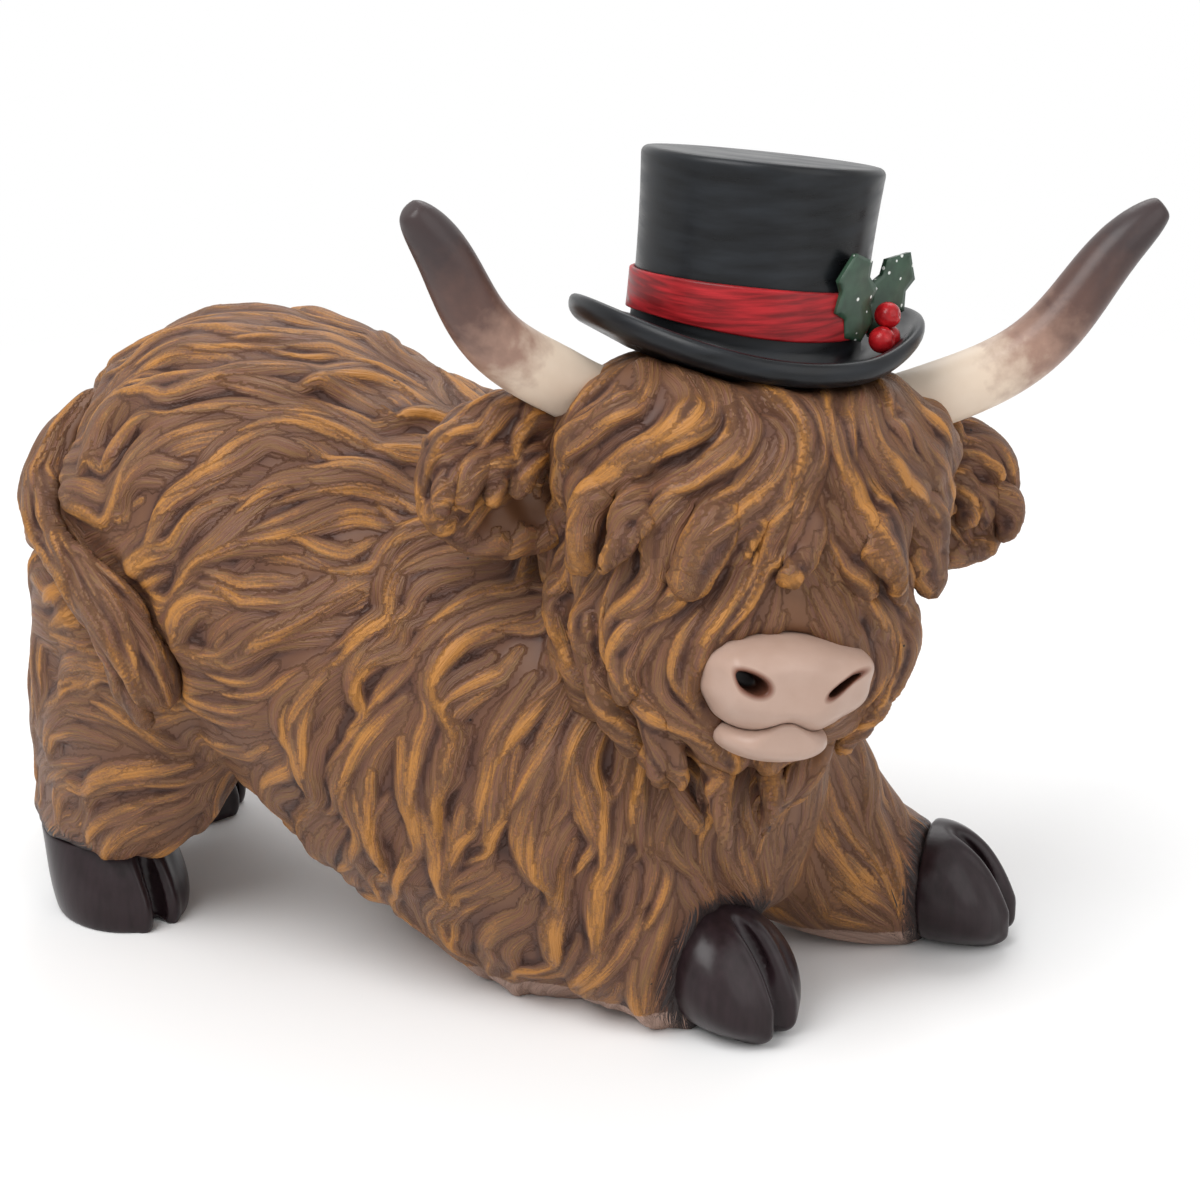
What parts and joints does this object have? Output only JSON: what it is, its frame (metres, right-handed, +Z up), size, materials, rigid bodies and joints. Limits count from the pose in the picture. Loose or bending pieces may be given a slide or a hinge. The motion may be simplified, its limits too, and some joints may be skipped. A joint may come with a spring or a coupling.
{
  "type": "cow figurine",
  "caption": "Shaggy highland cow ornament crouched in a play bow, wearing a top hat with a band and a holly sprig.",
  "frame": {"origin": "in the plane it rests on, within the flat underside of the chest", "axes": "+X forward along the back, from rump to chest; +Y to the cow's left; +Z up"},
  "size_m": [0.1979, 0.0908, 0.144],
  "materials": {
    "coat": "cast polyresin, hand painted brown with ochre dry brushing, satin varnish",
    "muzzle": "cast polyresin, painted pinkish beige, satin varnish",
    "horn": "cast polyresin, painted cream fading to dark brown at the tip, satin varnish",
    "hoof": "cast polyresin, painted dark charcoal brown, satin varnish",
    "hat": "cast polyresin, painted black, semi-gloss varnish",
    "band": "cast polyresin, painted red, semi-gloss varnish",
    "leaf": "cast polyresin, painted dark green with specks of white glitter",
    "berry": "cast polyresin, painted glossy red",
    "pin": "plain drawn steel"
  },
  "bodies": {
    "root": {"torso": "coat", "head": "coat", "ear_left": "coat", "ear_right": "coat", "foreleg_left": "coat", "foreleg_right": "coat", "hindleg_left": "coat", "hindleg_right": "coat", "tail": "coat", "muzzle": "muzzle", "lower_lip": "muzzle", "horn_left": "horn", "horn_right": "horn", "horn_pin_left": "pin", "horn_pin_right": "pin", "fore_hoof_left": "hoof", "fore_hoof_right": "hoof", "hind_hoof_left": "hoof", "hind_hoof_right": "hoof", "top_hat": "hat", "hat_pin": "pin", "hat_band": "band", "holly_leaves": "leaf", "holly_berries": "berry"}
  },
  "joints": []
}
